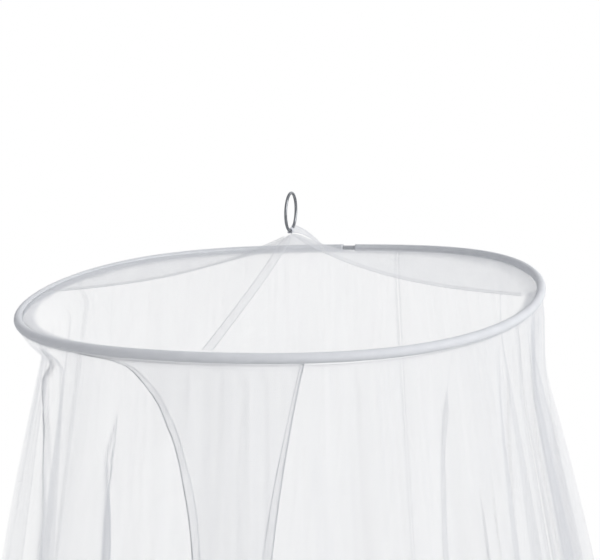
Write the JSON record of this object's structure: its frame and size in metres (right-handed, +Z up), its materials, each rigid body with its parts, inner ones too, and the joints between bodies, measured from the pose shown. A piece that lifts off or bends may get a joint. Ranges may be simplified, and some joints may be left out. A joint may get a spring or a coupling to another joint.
{
  "type": "mosquito net canopy with its hoop",
  "caption": "Sheer net canopy: a cloth-sleeved hoop under a shallow sewn net roof, hung from one steel ring, with a long flared net skirt that laps shut at an entry.",
  "frame": {"origin": "inside top of the hanging ring, the point that a ceiling hook holds", "axes": "+Z up along the drop; the skirt's lapped entry faces -Y; +X to the right of someone who faces the entry"},
  "size_m": [1.461, 1.4908, 2.4708],
  "materials": {
    "ring": "welded steel wire, dull grey",
    "rod": "plain rod, smooth",
    "sleeve": "close-woven white polyester, slightly shiny",
    "tape": "narrow white woven tape",
    "net": "sheer white knitted polyester net"
  },
  "bodies": {
    "root": {"hang_ring": "ring", "peak_loop": "tape", "hoop": "rod", "hoop_sleeve": "sleeve", "roof_front_to_right": "net", "roof_right_to_back": "net", "roof_back_to_left": "net", "roof_left_to_front": "net", "seam_tape_front": "tape", "seam_tape_right": "tape", "seam_tape_back": "tape", "seam_tape_left": "tape", "skirt_front": "net", "skirt_right": "net", "skirt_back": "net", "skirt_left": "net"}
  },
  "joints": []
}
